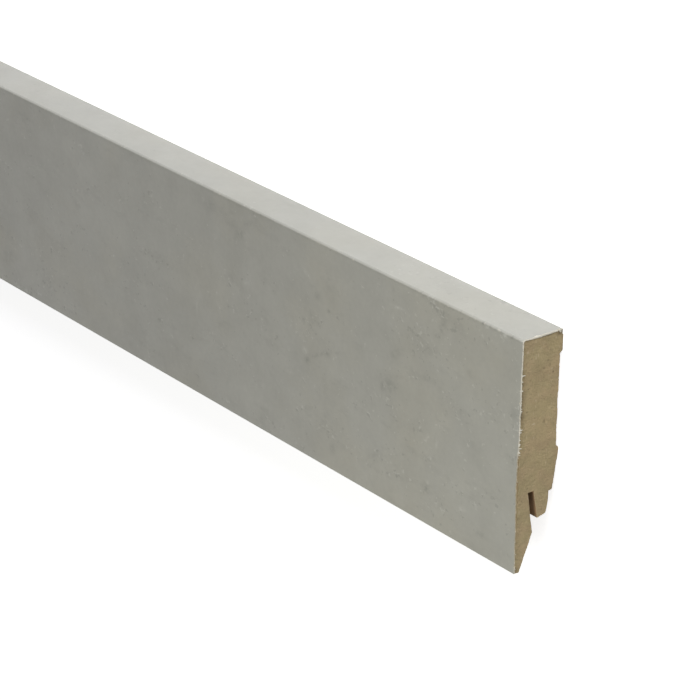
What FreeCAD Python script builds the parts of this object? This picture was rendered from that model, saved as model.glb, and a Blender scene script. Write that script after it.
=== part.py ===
import FreeCAD, Part
import enum
import math
import os

import Sketcher

# A length of skirting board: a moulded fibreboard core, with a decor foil wrapped round its front and its top.
#
# The board lies on its back with the decor face up, as it would lie on a level floor.
# X runs along the board from its middle, Y runs up the wall from half the board's height,
# and Z runs from the wall side out to the decor face.
#
# The section is drawn in two directions: height above the foot, and distance out from the wall.

SIZES = [
    ("board_length", 2400.0, "length that the board is sold in"),
    ("board_height", 58.0, "foot to top, with the foil"),
    ("board_depth", 12.0, "wall side to decor face, with the foil"),
    ("foil_thickness", 0.25, "decor foil with its glue line"),
    ("foil_tail", 1.5, "how far the foil comes down behind the top"),
    ("foil_setback", 0.1, "clearance of the foil's tail from the wall"),
    ("core_front_radius", 0.5, "round of the core under the foil, top front"),
    ("core_back_radius", 0.3, "round of the core under the foil, top back"),
    ("upper_land_width", 5.3, "top of the board to the recess in the back"),
    ("upper_ramp", 0.6, "height of the recess's upper ramp"),
    ("lower_ramp", 0.7, "height of the recess's lower ramp"),
    ("recess_depth", 0.75, "hollow between the two lands"),
    ("lower_land_foot", 28.0, "foot of the board to the lower land"),
    ("lower_land_width", 0.7, "flat of the lower land"),
    ("heel_taper", 8.6, "lean of the heel away from the wall, degrees"),
    ("heel_foot", 18.4, "foot of the board to the step under the heel"),
    ("heel_corner_radius", 0.35, "round at the foot of the heel"),
    ("leg_rebate_depth", 2.5, "step under the heel, measured from the wall"),
    ("leg_straight", 2.1, "upright stretch of the leg's back"),
    ("leg_slant", 9.1, "lean of the leg's back below that, degrees"),
    ("leg_back_foot", 12.85, "foot of the board to the leg's end, at its back"),
    ("leg_bottom", 12.45, "foot of the board to the leg's end, at the slot"),
    ("leg_corner_radius", 0.6, "round at the end of the leg's back"),
    ("slot_top", 19.7, "foot of the board to the end of the clip slot"),
    ("slot_from_wall", 7.0, "wall to the slot's near side, at its end"),
    ("slot_width", 1.7, "clip slot, at its end"),
    ("slot_slant", 7.5, "lean of the slot's far side, degrees"),
    ("slot_flare", 3.1, "how much wider the slot opens, degrees"),
    ("lip_knee", 9.2, "foot of the board to the bend in the lip's back"),
    ("lip_knee_from_wall", 6.9, "wall to the bend in the lip's back"),
    ("lip_tip", 1.35, "thickness of the lip at the floor, with the foil"),
]

FOOT = "0"
WALL = "0"
TOP = "Sizes.board_height"
FACE = "Sizes.board_depth"
CORE_TOP = "Sizes.board_height - Sizes.foil_thickness"
CORE_FACE = "Sizes.board_depth - Sizes.foil_thickness"
TAIL_END = "Sizes.board_height - Sizes.foil_tail"
TAIL_BACK = "Sizes.foil_setback"
TAIL_SEAT = "Sizes.foil_setback + Sizes.foil_thickness"
UPPER_LAND_FOOT = "Sizes.board_height - Sizes.upper_land_width"
RECESS_TOP = "Sizes.board_height - Sizes.upper_land_width - Sizes.upper_ramp"
LOWER_LAND_TOP = "Sizes.lower_land_foot + Sizes.lower_land_width"
RECESS_FOOT = "Sizes.lower_land_foot + Sizes.lower_land_width + Sizes.lower_ramp"
HEEL_LEAN = "(Sizes.lower_land_foot - Sizes.heel_foot) * tan(Sizes.heel_taper)"
LEG_BEND = "Sizes.heel_foot - Sizes.leg_straight"
LEG_LEAN = "(Sizes.heel_foot - Sizes.leg_straight - Sizes.leg_back_foot) * tan(Sizes.leg_slant)"
LEG_END = "Sizes.leg_rebate_depth + " + LEG_LEAN
SLOT_FAR_SIDE = "Sizes.slot_from_wall + Sizes.slot_width"
SLOT_NEAR_MOUTH = (
    "Sizes.slot_from_wall - (Sizes.slot_top - Sizes.leg_bottom) * tan(Sizes.slot_slant + Sizes.slot_flare)"
)
SLOT_FAR_MOUTH = SLOT_FAR_SIDE + " - (Sizes.slot_top - Sizes.leg_bottom) * tan(Sizes.slot_slant)"
LIP_TIP_BACK = "Sizes.board_depth - Sizes.lip_tip"

POINT_TOLERANCE = 1e-4
VOLUME_TOLERANCE = 1e-6


class Point(enum.IntEnum):
    """The ends of a sketched line."""
    START = 1
    END = 2


class Axis(enum.IntEnum):
    """The sketch's own axes."""
    HEIGHT = -1
    WALL = -2


def make_sheet(doc):
    """The driving dimensions, one row each: name, value and what it measures."""
    sheet = doc.addObject("Spreadsheet::Sheet", "Sizes")
    for row, (alias, value, note) in enumerate(SIZES, start=1):
        sheet.set("A%d" % row, alias)
        sheet.set("B%d" % row, str(value))
        sheet.set("C%d" % row, note)
        sheet.setAlias("B%d" % row, alias)
    doc.recompute()
    return sheet


def make_body(doc, name):
    """One piece of the board, lowered by half the board's height so that the frame is at mid-height."""
    body = doc.addObject("PartDesign::Body", name)
    body.Label = name
    body.setExpression("Placement.Base.y", "-Sizes.board_height / 2")
    return body


def section_plane(body):
    """The body's own plane across the board."""
    for feature in body.Origin.OriginFeatures:
        if feature.Role == "YZ_Plane":
            return feature
    raise RuntimeError("no section plane in " + body.Name)


def constrain(sketch, kind, corner, numbers, expression):
    """Give a corner's coordinate its dimension, under a name of its own."""
    index = sketch.addConstraint(Sketcher.Constraint(kind, *numbers, 1.0))
    name = corner + ("_height" if kind == "DistanceX" else "_from_wall")
    sketch.renameConstraint(index, name)
    sketch.setExpression("Constraints." + name, expression)


def draw_outline(body, name, corners):
    """Draw a closed outline of straight lines across the board.

    corners gives each corner's name, height above the foot and distance from the wall, as expressions.
    A coordinate that a corner shares with its neighbour is levelled with it, and is dimensioned only once.
    """
    sketch = body.newObject("Sketcher::SketchObject", name)
    sketch.AttachmentSupport = [(section_plane(body), "")]
    sketch.MapMode = "FlatFace"
    names = list(corners)
    count = len(names)
    turn = 2 * math.pi / count
    loose = [FreeCAD.Vector(math.cos(i * turn), math.sin(i * turn), 0) for i in range(count)]
    for i in range(count):
        sketch.addGeometry(Part.LineSegment(loose[i], loose[(i + 1) % count]))
    for i in range(count):
        sketch.addConstraint(Sketcher.Constraint("Coincident", i, Point.END, (i + 1) % count, Point.START))
    directions = (
        (0, "DistanceX", "Vertical", Axis.WALL),
        (1, "DistanceY", "Horizontal", Axis.HEIGHT),
    )
    for which, distance, level, axis in directions:
        for i, corner in enumerate(names):
            expression = corners[corner][which]
            before = corners[names[i - 1]][which]
            first = corners[names[0]][which]
            if i > 0 and expression == before:
                sketch.addConstraint(Sketcher.Constraint(level, i - 1))
            elif i == count - 1 and expression == first:
                sketch.addConstraint(Sketcher.Constraint(level, i))
            elif expression == "0":
                sketch.addConstraint(Sketcher.Constraint("PointOnObject", i, Point.START, axis))
            else:
                constrain(sketch, distance, corner, (i, Point.START), expression)
    body.Document.recompute()
    if sketch.solve() != 0 or not sketch.FullyConstrained:
        raise RuntimeError(name + " isn't fully constrained")
    return sketch


def corner_point(sketch, corners, corner):
    """Where the solved sketch has put a corner, as height and distance from the wall."""
    start = sketch.Geometry[list(corners).index(corner)].StartPoint
    return start.x, start.y


def pad_along(body, name, corners):
    """Give the body its stock: the outline, drawn out to both sides of the middle over the whole length."""
    sketch = draw_outline(body, name + "Section", corners)
    pad = body.newObject("PartDesign::Pad", name)
    pad.Profile = sketch
    pad.SideType = "Symmetric"
    pad.setExpression("Length", "Sizes.board_length")
    body.Document.recompute()
    return sketch


def mill_along(body, name, corners):
    """Mill the outline away over the whole length, and make sure that something came off."""
    before = body.Shape.Volume
    sketch = draw_outline(body, name + "Section", corners)
    pocket = body.newObject("PartDesign::Pocket", name)
    pocket.Profile = sketch
    pocket.SideType = "Symmetric"
    pocket.setExpression("Length", "Sizes.board_length")
    pocket.Refine = True
    body.Document.recompute()
    if body.Shape.Volume >= before:
        raise RuntimeError(name + " took nothing off")
    return sketch


def round_along(body, name, sketch, corners, corner, radius):
    """Round the long edge that stands on one corner of an outline."""
    height, from_wall = corner_point(sketch, corners, corner)
    base = body.Tip
    found = []
    for index, edge in enumerate(base.Shape.Edges, start=1):
        offsets = [math.hypot(v.Y - height, v.Z - from_wall) for v in edge.Vertexes]
        if len(offsets) == 2 and max(offsets) < POINT_TOLERANCE:
            found.append("Edge%d" % index)
    if len(found) != 1:
        raise RuntimeError("%s: %d edges at %s" % (name, len(found), corner))
    fillet = body.newObject("PartDesign::Fillet", name)
    fillet.Base = (base, found)
    fillet.setExpression("Radius", radius)
    body.Document.recompute()


def make_mdf_core(doc):
    """The fibreboard core, milled from a blank in the order of its cutters."""
    body = make_body(doc, "mdf_core")

    # The blank already has the shallow seat for the foil's tail behind its top edge.
    blank = {
        "toe_back": (FOOT, WALL),
        "tail_shoulder": (TAIL_END, WALL),
        "tail_seat": (TAIL_END, TAIL_SEAT),
        "top_back": (CORE_TOP, TAIL_SEAT),
        "top_front": (CORE_TOP, CORE_FACE),
        "toe_front": (FOOT, CORE_FACE),
    }
    blank_section = pad_along(body, "Blank", blank)

    # A shallow hollow leaves two lands, so that the board sits on an uneven wall without rocking.
    mill_along(body, "BackRecess", {
        "lower_land": (LOWER_LAND_TOP, WALL),
        "upper_land": (UPPER_LAND_FOOT, WALL),
        "recess_top": (RECESS_TOP, "Sizes.recess_depth"),
        "recess_foot": (RECESS_FOOT, "Sizes.recess_depth"),
    })

    # Below the lower land the heel leans away from the wall.
    heel = {
        "heel_foot_wall": ("Sizes.heel_foot", WALL),
        "heel_top": ("Sizes.lower_land_foot", WALL),
        "heel_foot": ("Sizes.heel_foot", HEEL_LEAN),
    }
    heel_section = mill_along(body, "HeelTaper", heel)

    # Under the heel the back steps in to the leg that the clip springs against.
    leg_rebate = {
        "leg_end_wall": ("Sizes.leg_back_foot", WALL),
        "rebate_top_wall": ("Sizes.heel_foot", WALL),
        "rebate_top": ("Sizes.heel_foot", "Sizes.leg_rebate_depth"),
        "leg_bend": (LEG_BEND, "Sizes.leg_rebate_depth"),
        "leg_end": ("Sizes.leg_back_foot", LEG_END),
    }
    leg_section = mill_along(body, "LegRebate", leg_rebate)

    # The space under the leg is open to the wall and the floor, for the clip's foot and for cables.
    # The leg's end rises a little towards the wall. The space's far side is the back of the lip,
    # which swells to a knee and then thins down to the floor.
    mill_along(body, "ClipSpace", {
        "toe_wall": (FOOT, WALL),
        "leg_end_wall": ("Sizes.leg_back_foot", WALL),
        "leg_end": ("Sizes.leg_back_foot", LEG_END),
        "slot_near_mouth": ("Sizes.leg_bottom", SLOT_NEAR_MOUTH),
        "slot_far_mouth": ("Sizes.leg_bottom", SLOT_FAR_MOUTH),
        "lip_knee": ("Sizes.lip_knee", "Sizes.lip_knee_from_wall"),
        "lip_tip": (FOOT, LIP_TIP_BACK),
    })

    # The slanted slot takes the clip's upright tongue, between the lip and the leg.
    mill_along(body, "ClipSlot", {
        "slot_near_mouth": ("Sizes.leg_bottom", SLOT_NEAR_MOUTH),
        "slot_near_end": ("Sizes.slot_top", "Sizes.slot_from_wall"),
        "slot_far_end": ("Sizes.slot_top", SLOT_FAR_SIDE),
        "slot_far_mouth": ("Sizes.leg_bottom", SLOT_FAR_MOUTH),
    })

    round_along(body, "HeelRound", heel_section, heel, "heel_foot", "Sizes.heel_corner_radius")
    round_along(body, "LegRound", leg_section, leg_rebate, "leg_end", "Sizes.leg_corner_radius")
    round_along(body, "TopFrontRound", blank_section, blank, "top_front", "Sizes.core_front_radius")
    round_along(body, "TopBackRound", blank_section, blank, "top_back", "Sizes.core_back_radius")
    return body


def make_decor_foil(doc):
    """The foil, glued to the core's face, round its top and down into the seat behind it."""
    body = make_body(doc, "decor_foil")
    wrap = {
        "toe_face": (FOOT, FACE),
        "toe_glue": (FOOT, CORE_FACE),
        "front_glue": (CORE_TOP, CORE_FACE),
        "back_glue": (CORE_TOP, TAIL_SEAT),
        "tail_glue": (TAIL_END, TAIL_SEAT),
        "tail_back": (TAIL_END, TAIL_BACK),
        "top_back": (TOP, TAIL_BACK),
        "top_face": (TOP, FACE),
    }
    section = pad_along(body, "Wrap", wrap)
    rounds = [
        ("FrontGlueRound", "front_glue", "Sizes.core_front_radius"),
        ("BackGlueRound", "back_glue", "Sizes.core_back_radius"),
        ("TopFaceRound", "top_face", "Sizes.core_front_radius + Sizes.foil_thickness"),
        ("TopBackRound", "top_back", "Sizes.core_back_radius + Sizes.foil_thickness"),
    ]
    for name, corner, radius in rounds:
        round_along(body, name, section, wrap, corner, radius)
    return body


def check_document(doc):
    """Stop if any object of the document failed to build."""
    for item in doc.Objects:
        if "Invalid" in item.State or "Error" in item.State:
            raise RuntimeError("%s failed: %s" % (item.Name, item.State))


def check_piece(body, length):
    """Stop unless the piece is one valid solid with the same section over its whole length."""
    shape = body.Shape
    if shape.isNull() or not shape.isValid() or len(shape.Solids) != 1:
        raise RuntimeError(body.Label + " isn't one valid solid")
    box = shape.BoundBox
    ends = [face for face in shape.Faces if abs(face.BoundBox.XMin - box.XMax) < POINT_TOLERANCE]
    drawn_out = sum(face.Area for face in ends) * length
    if abs(shape.Volume - drawn_out) > VOLUME_TOLERANCE * drawn_out:
        raise RuntimeError(body.Label + " isn't the same all along")
    print("%s: %.1f mm3, %s" % (body.Label, shape.Volume, box))


def main():
    doc = FreeCAD.newDocument("SkirtingBoard")
    sheet = make_sheet(doc)
    pieces = [make_mdf_core(doc), make_decor_foil(doc)]
    doc.recompute()
    check_document(doc)
    for piece in pieces:
        check_piece(piece, float(sheet.board_length))
    os.makedirs("parts", exist_ok=True)
    for piece in pieces:
        piece.Shape.exportStep("parts/%s.step" % piece.Label)


main()
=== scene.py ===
import math
from functools import partial

import bpy
import numpy as np
from bpy.props import FloatProperty, FloatVectorProperty, PointerProperty
from mathutils import Euler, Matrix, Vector


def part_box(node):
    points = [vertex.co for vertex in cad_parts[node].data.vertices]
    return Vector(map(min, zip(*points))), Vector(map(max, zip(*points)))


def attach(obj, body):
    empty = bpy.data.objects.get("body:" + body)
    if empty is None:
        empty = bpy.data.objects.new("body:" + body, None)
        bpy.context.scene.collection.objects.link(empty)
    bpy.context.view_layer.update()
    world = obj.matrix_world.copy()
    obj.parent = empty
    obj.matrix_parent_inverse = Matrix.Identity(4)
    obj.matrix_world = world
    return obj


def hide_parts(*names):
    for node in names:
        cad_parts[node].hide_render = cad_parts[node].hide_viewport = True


bl_info = {
    "name": "Skirting Board Length",
    "version": (1, 0, 0),
    "blender": (4, 5, 0),
    "location": "View3D > Sidebar > Skirting",
    "description": "A foil-wrapped fibreboard skirting board with its sawn ends, milled back and clip slot",
    "category": "Object",
}

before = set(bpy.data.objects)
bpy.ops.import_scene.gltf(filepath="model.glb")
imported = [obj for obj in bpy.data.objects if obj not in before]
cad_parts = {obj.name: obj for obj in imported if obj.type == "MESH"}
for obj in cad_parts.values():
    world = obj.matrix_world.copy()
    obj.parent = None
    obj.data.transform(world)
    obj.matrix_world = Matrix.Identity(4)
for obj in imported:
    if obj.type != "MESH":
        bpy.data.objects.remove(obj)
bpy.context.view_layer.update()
FOIL_LOW, FOIL_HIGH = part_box("decor_foil")
CORE_LOW, CORE_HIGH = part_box("mdf_core")

MM = 0.001
STEP = 0.05 * MM  # how tall a square step of the back is drawn


# Settings

def number(name, description, default, **kind):
    """A number, and its kind where it has one."""
    return FloatProperty(name=name, description=description, default=default, **kind)


def metres(name, description, default):
    """A size in metres."""
    return number(name, description, default, min=0.0, unit="LENGTH", precision=5)


def mm(name, description, default):
    """A size given in millimetres."""
    return metres(name, description, default * MM)


def degrees(name, description, default):
    """An angle given in degrees."""
    return number(name, description, math.radians(default), unit="ROTATION")


def triple(name, description, default, subtype, **limits):
    """Three numbers: a place, a turn or a colour."""
    return FloatVectorProperty(name=name, description=description, default=default, size=3, subtype=subtype,
                               **limits)


def tint(name, description, default):
    """A linear colour."""
    return triple(name, description, default, "COLOR", min=0.0, max=1.0)


class BoardSection(bpy.types.PropertyGroup):
    """The sizes of the board's section. Heights are above the foot, distances are from the wall side."""
    length: metres("Length", "Length of the board", CORE_HIGH.x - CORE_LOW.x)
    height: metres("Height", "Foot to top, with the foil", FOIL_HIGH.y - FOIL_LOW.y)
    depth: metres("Depth", "Wall side to decor face, with the foil", FOIL_HIGH.z - CORE_LOW.z)
    foil: metres("Foil", "Thickness of the foil and its glue line", FOIL_HIGH.z - CORE_HIGH.z)
    foil_tail: mm("Foil tail", "How far the foil comes down behind the top", 1.5)
    foil_setback: metres("Foil setback", "Clearance of the foil's tail from the wall", FOIL_LOW.z)
    front_round: mm("Front round", "Round of the core at the top front", 0.4)
    back_round: mm("Back round", "Round of the core at the top back", 0.3)
    upper_land: mm("Upper land", "Top of the board to the recess in the back", 5.3)
    upper_ramp: mm("Upper ramp", "Height of the recess's upper ramp", 0.6)
    lower_ramp: mm("Lower ramp", "Height of the recess's lower ramp", 0.7)
    recess: mm("Recess", "Depth of the hollow between the lands", 0.75)
    lower_land_foot: mm("Lower land", "Foot of the board to the lower land", 28.0)
    lower_land: mm("Lower land width", "Flat of the lower land", 0.7)
    heel_taper: degrees("Heel taper", "Lean of the heel away from the wall", 8.6)
    heel_foot: mm("Heel foot", "Foot of the board to the step under the heel", 18.4)
    heel_round: mm("Heel round", "Round at the foot of the heel", 0.35)
    leg_rebate: mm("Leg rebate", "Step under the heel, measured from the wall", 2.5)
    leg_straight: mm("Leg straight", "Upright stretch of the leg's back", 2.1)
    leg_slant: degrees("Leg slant", "Lean of the leg's back below that", 9.1)
    leg_back_foot: mm("Leg back foot", "Foot of the board to the leg's end, at its back", 12.85)
    leg_bottom: mm("Leg bottom", "Foot of the board to the leg's end, at the slot", 12.45)
    leg_round: mm("Leg round", "Round at the end of the leg's back", 0.6)
    slot_top: mm("Slot end", "Foot of the board to the end of the clip slot", 19.7)
    slot_from_wall: mm("Slot from wall", "Wall to the slot's near side, at its end", 7.0)
    slot_width: mm("Slot width", "Clip slot, at its end", 1.7)
    slot_slant: degrees("Slot slant", "Lean of the slot's far side", 8.8)
    slot_flare: degrees("Slot flare", "How much wider the slot opens", 1.8)
    lip_knee: mm("Lip knee", "Foot of the board to the bend in the lip's back", 9.2)
    lip_knee_from_wall: mm("Lip knee from wall", "Wall to the bend in the lip's back", 6.9)
    lip_tip: mm("Lip tip", "Thickness of the lip at the floor, with the foil", 1.35)


class SawnEnds(bpy.types.PropertyGroup):
    """What the saw left at both ends."""
    core_setback: mm("Core setback", "How far the sawn core lies behind the foil's edge", 0.06)
    fibre_relief: mm("Fibre relief", "Height of the torn fibres on the sawn core", 0.04)
    glue_groove: mm("Glue groove", "Depth of the crumbled line beside the foil", 0.22)
    glue_width: mm("Glue width", "Width of the crumbled line beside the foil", 0.55)
    rim_chip: mm("Rim chip", "Usual size of the chips in the core's milled edges", 0.10)
    chip: mm("Chip", "Usual size of the chips in the foil's printed edge", 0.20)
    burr: mm("Burr", "Usual size of the torn paper inside the foil's edge", 0.09)
    pitch: mm("Pitch", "Spacing of the mesh on the sawn ends", 0.13)
    foil_pitch: mm("Foil pitch", "Spacing of the mesh along the foil's sawn edges", 0.08)


class Finish(bpy.types.PropertyGroup):
    """The colours of the board."""
    decor: tint("Decor", "The concrete print's main grey", (0.500, 0.492, 0.436))
    decor_warm: tint("Decor warm", "The print's warmer clouds", (0.505, 0.490, 0.420))
    pore: tint("Pore", "The print's dark pores", (0.330, 0.322, 0.280))
    pore_rim: tint("Pore rim", "The light rims beside the pores", (0.640, 0.632, 0.572))
    paper: tint("Paper", "The foil's bare paper, where it is cut or chipped", (0.780, 0.740, 0.640))
    paper_dull: tint("Dull paper", "The cut paper where the saw has smeared it", (0.480, 0.425, 0.310))
    board: tint("Fibreboard", "The sawn fibreboard", (0.444, 0.358, 0.206))
    board_warm: tint("Warm fibreboard", "Its redder clouds", (0.456, 0.353, 0.210))
    board_dark: tint("Dark fibre", "Bark specks, shadowed fibres and the glue line", (0.190, 0.150, 0.085))
    board_pale: tint("Pale fibre", "Single pale fibres", (0.680, 0.580, 0.410))
    milled: tint("Milled skin", "The milled back, a little darker than the sawn end", (0.400, 0.300, 0.170))
    # The slot's sides: milled fibreboard painted darker, as painted shade inside the clip slot.
    slot_skin_and_shade: tint("Slot skin", "The burnished sides of the clip slot", (0.340, 0.225, 0.130))


class Stage(bpy.types.PropertyGroup):
    """The camera, the light and the floor."""
    camera_place: triple("Camera", "Where the camera stands", (1.62945, 0.28424, 0.40358), "TRANSLATION")
    camera_turn: triple("Turn", "How the camera is turned",
                        tuple(math.radians(angle) for angle in (-23.1559, 51.6664, 1.0514)), "EULER")
    lens: number("Lens", "Focal length for a 36 mm picture", 148.786, unit="CAMERA")
    sky: number("Sky", "Strength of the even light from all round", 0.152)
    key: number("Key", "Strength of the broad lamp on the board's top edge", 2.85)
    key_colour: tint("Key colour", "Colour of the broad lamp", (0.906, 0.920, 1.0))
    side: number("Side", "Power of the box beside the sawn end", 0.318, unit="POWER")
    near: number("Near", "Power of the small box close to the end", 0.058, unit="POWER")
    box_colour: tint("Box colour", "Colour of both boxes", (1.0, 0.995, 0.848))
    floor: tint("Floor", "The floor's own colour", (0.80, 0.80, 0.80))
    floor_glow: number("Floor glow", "What the camera sees on top of the floor's own light", 0.80)


# Shapes

def smooth_noise(a, b, cell, seed):
    """Smooth random heights from about -1 to 1.

    Random values stand on a square lattice of the given cell, and a point between them takes their mean,
    weighted along each side by the ease 3t^2 - 2t^3 of its share of the cell.
    """
    size = 256
    table = np.random.default_rng(seed).uniform(-1, 1, (size, size))
    a, b = np.broadcast_arrays(np.asarray(a, float) / cell, np.asarray(b, float) / cell)
    i, j = np.floor(a).astype(int), np.floor(b).astype(int)
    p, q = a - i, b - j
    p, q = p * p * (3 - 2 * p), q * q * (3 - 2 * q)
    near, far = (table[n % size, j % size] * (1 - q) + table[n % size, (j + 1) % size] * q
                 for n in (i, i + 1))
    return near * (1 - p) + far * p


def noise_sum(a, b, seed, *layers, base=0.0):
    """A base with smooth noises added, each given as its share and its cell in mm, with seeds in a row."""
    return sum((share * smooth_noise(a, b, cell * MM, seed + n) for n, (share, cell) in enumerate(layers)),
               base)


def steps(start, end, pitch):
    """Evenly spaced values from start to end, no further apart than the pitch."""
    count = max(1, math.ceil(abs(end - start) / pitch))
    return np.linspace(start, end, count + 1)


def rounding(distance, radius):
    """How far a round falls away from a straight side, at a distance from the corner.

    It is r - sqrt(r^2 - (r - d)^2) within the radius r, and nothing beyond it.
    """
    inside = np.clip(radius - distance, 0, radius)
    return radius - np.sqrt(np.maximum(radius ** 2 - inside ** 2, 0))


def back_bends(section):
    """Bends of the core's back above the slot, as heights and distances from the wall."""
    land_top = section.lower_land_foot + section.lower_land
    land_foot = section.height - section.upper_land
    tail_end = section.height - section.foil_tail
    seat = section.foil_setback + section.foil
    lean = (section.lower_land_foot - section.heel_foot) * math.tan(section.heel_taper)
    return np.array((
        (section.heel_foot, lean),
        (section.lower_land_foot, 0.0),
        (land_top, 0.0),
        (land_top + section.lower_ramp, section.recess),
        (land_foot - section.upper_ramp, section.recess),
        (land_foot, 0.0),
        (tail_end, 0.0),
        (tail_end + STEP, seat),
        (section.height - section.foil, seat),
    )).T


def back_line(section, heights):
    """Distance of the core's back from the wall: straight between its bends, with a round at the top."""
    top = section.height - section.foil
    return np.interp(heights, *back_bends(section)) + rounding(top - heights, section.back_round)


def leg_bends(section):
    """Bends of the leg's back, up to the slot's end, as heights and distances from the wall."""
    foot, bend = section.leg_back_foot, section.heel_foot - section.leg_straight
    lean = math.tan(section.heel_taper)
    return np.array((
        (foot, section.leg_rebate + (bend - foot) * math.tan(section.leg_slant)),
        (bend, section.leg_rebate),
        (section.heel_foot, section.leg_rebate),
        (section.heel_foot + STEP, (section.lower_land_foot - section.heel_foot - STEP) * lean),
        (section.slot_top, (section.lower_land_foot - section.slot_top) * lean),
    )).T


def leg_line(section, heights):
    """Distance of the leg's back from the wall: straight between its bends, with two rounds."""
    end_round = rounding(heights - section.leg_back_foot, section.leg_round)
    heel_round = rounding(heights - section.heel_foot - STEP, section.heel_round)
    curve = end_round + np.where(heights >= section.heel_foot + STEP / 2, heel_round, 0.0)
    return np.interp(heights, *leg_bends(section)) + curve


def slot_sides(section, heights):
    """Distances of the slot's two sides from the wall. The near side leans more, so the slot opens."""
    drop = section.slot_top - heights
    near = section.slot_from_wall - drop * math.tan(section.slot_slant + section.slot_flare)
    far = section.slot_from_wall + section.slot_width - drop * math.tan(section.slot_slant)
    return near, far


def lip_line(section, heights):
    """Distance of the lip's back from the wall: the slot's far side, the knee and the thin tip."""
    mouth = section.leg_bottom
    bends = (0.0, section.lip_knee, mouth)
    distances = (section.depth - section.lip_tip, section.lip_knee_from_wall, slot_sides(section, mouth)[1])
    return np.where(heights < mouth, np.interp(heights, bends, distances), slot_sides(section, heights)[1])


def rows(start, end, pitch, bends, *fine):
    """Heights of a zone's rows: evenly spaced, one on each bend of its outline, and finer runs."""
    inner = [height for height in bends if start < height < end]
    parts = [steps(start, end, pitch), inner, *(steps(*run) for run in fine)]
    return np.unique(np.round(np.concatenate(parts), 7))


def zone(wall_side, face_side, shares):
    """A grid of points across the section, whose rows run straight between both sides by the shares.

    The sides are given as heights and distances from the wall. A third number tells how far each point is
    from its wall side.
    """
    wall, face = (np.stack(np.broadcast_arrays(*side), axis=-1)[:, None] for side in (wall_side, face_side))
    across = face - wall
    from_side = np.linalg.norm(across, axis=-1, keepdims=True) * shares[:, None]
    return np.concatenate([wall + across * shares[:, None], from_side], axis=-1)


def grid_index(start, grid):
    """Point numbers of a grid, from a start."""
    return start + np.arange(grid.shape[0] * grid.shape[1]).reshape(grid.shape[:2])


def section_grid(section, pitch):
    """The sawn face of the core. Its points are height, distance from the wall and from the milled side.

    Three zones share their edges: the body above the slot, and the leg and the lip that hang from its
    lowest row beside the slot. Returns the points, each zone's index grid and the closed outline.
    """
    face = section.depth - section.foil
    top = section.height - section.foil
    slot_end = section.slot_top
    back = float(leg_line(section, slot_end))
    near, far = slot_sides(section, slot_end)
    runs = (back, near), (near, far), (far, face)
    leg_parts, slot_parts, lip_parts = (steps(*run, pitch) for run in runs)
    first_row = np.concatenate([leg_parts, slot_parts[1:], lip_parts[1:]])

    body_rows = rows(slot_end, top, pitch, back_bends(section)[0],
                     (top - section.front_round, top, section.front_round / 8))
    body_face = face - rounding(top - body_rows, section.front_round)
    body = zone((body_rows, back_line(section, body_rows)), (body_rows, body_face),
                (first_row - back) / (face - back))

    foot, heel = section.leg_back_foot, section.heel_foot
    back_rows = rows(foot, slot_end, pitch, leg_bends(section)[0],
                     (foot, foot + section.leg_round, section.leg_round / 6),
                     (heel, heel + section.heel_round, section.heel_round / 5))[:-1]
    rise = foot - section.leg_bottom
    slot_rows = back_rows - rise * np.clip(1 - (back_rows - foot) / (5 * rise), 0, 1)
    leg = zone((back_rows, leg_line(section, back_rows)), (slot_rows, slot_sides(section, slot_rows)[0]),
               np.linspace(0, 1, len(leg_parts)))

    lip_rows = rows(0.0, slot_end, pitch, (section.lip_knee, section.leg_bottom))[:-1]
    lip = zone((lip_rows, lip_line(section, lip_rows)), (lip_rows, face), np.linspace(0, 1, len(lip_parts)))

    points = np.concatenate([part.reshape(-1, 3) for part in (body, leg, lip)])
    body_index = grid_index(0, body)
    leg_index = grid_index(body_index.size, leg)
    lip_index = grid_index(body_index.size + leg_index.size, lip)
    lowest = body_index[0]
    leg_index = np.vstack([leg_index, lowest[:len(leg_parts)]])
    lip_index = np.vstack([lip_index, lowest[-len(lip_parts):]])
    outline = np.concatenate([
        lip_index[:-1, -1],
        body_index[:-1, -1],
        body_index[-1, :0:-1],
        body_index[:0:-1, 0],
        leg_index[:0:-1, 0],
        leg_index[0, :-1],
        leg_index[:-1, -1],
        lowest[len(leg_parts) - 1:-len(lip_parts)],
        lip_index[:0:-1, 0],
        lip_index[0, :-1],
    ])
    return points, (body_index, leg_index, lip_index), outline


def quads(index):
    """The four-sided faces of an index grid."""
    corners = index[:-1, :-1], index[1:, :-1], index[1:, 1:], index[:-1, 1:]
    return np.stack(corners, axis=-1).reshape(-1, 4)


def closed(index):
    """An index grid whose last column meets its first again."""
    return np.hstack([index, index[:, :1]])


def add_object(name, data):
    """A new object in the scene, at the origin."""
    added = bpy.data.objects.new(name, data)
    bpy.context.scene.collection.objects.link(added)
    return added


def build_piece(name, points, faces, materials, material_index, marks, node):
    """Make a finished piece from whole arrays, with its faces turned outwards, in the place of a CAD node.

    The marks are an attribute of the mesh: one number for each point, for the materials.
    """
    mesh = bpy.data.meshes.new(name)
    mesh.vertices.add(len(points))
    mesh.vertices.foreach_set("co", np.asarray(points, np.float32).ravel())
    mesh.loops.add(faces.size)
    mesh.loops.foreach_set("vertex_index", faces.astype(np.int32).ravel())
    mesh.polygons.add(len(faces))
    mesh.polygons.foreach_set("loop_start", np.arange(0, faces.size, 4, dtype=np.int32))
    mesh.polygons.foreach_set("material_index", material_index.astype(np.int32))
    mesh.polygons.foreach_set("use_smooth", np.ones(len(faces), bool))
    mesh.attributes.new("marks", "FLOAT", "POINT").data.foreach_set("value", np.asarray(marks, np.float32))
    mesh.update(calc_edges=True)
    mesh.set_sharp_from_angle(angle=math.radians(35))
    for material in materials:
        mesh.materials.append(material)
    piece = add_object(name, mesh)
    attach(piece, "root")
    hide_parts(node)


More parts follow.
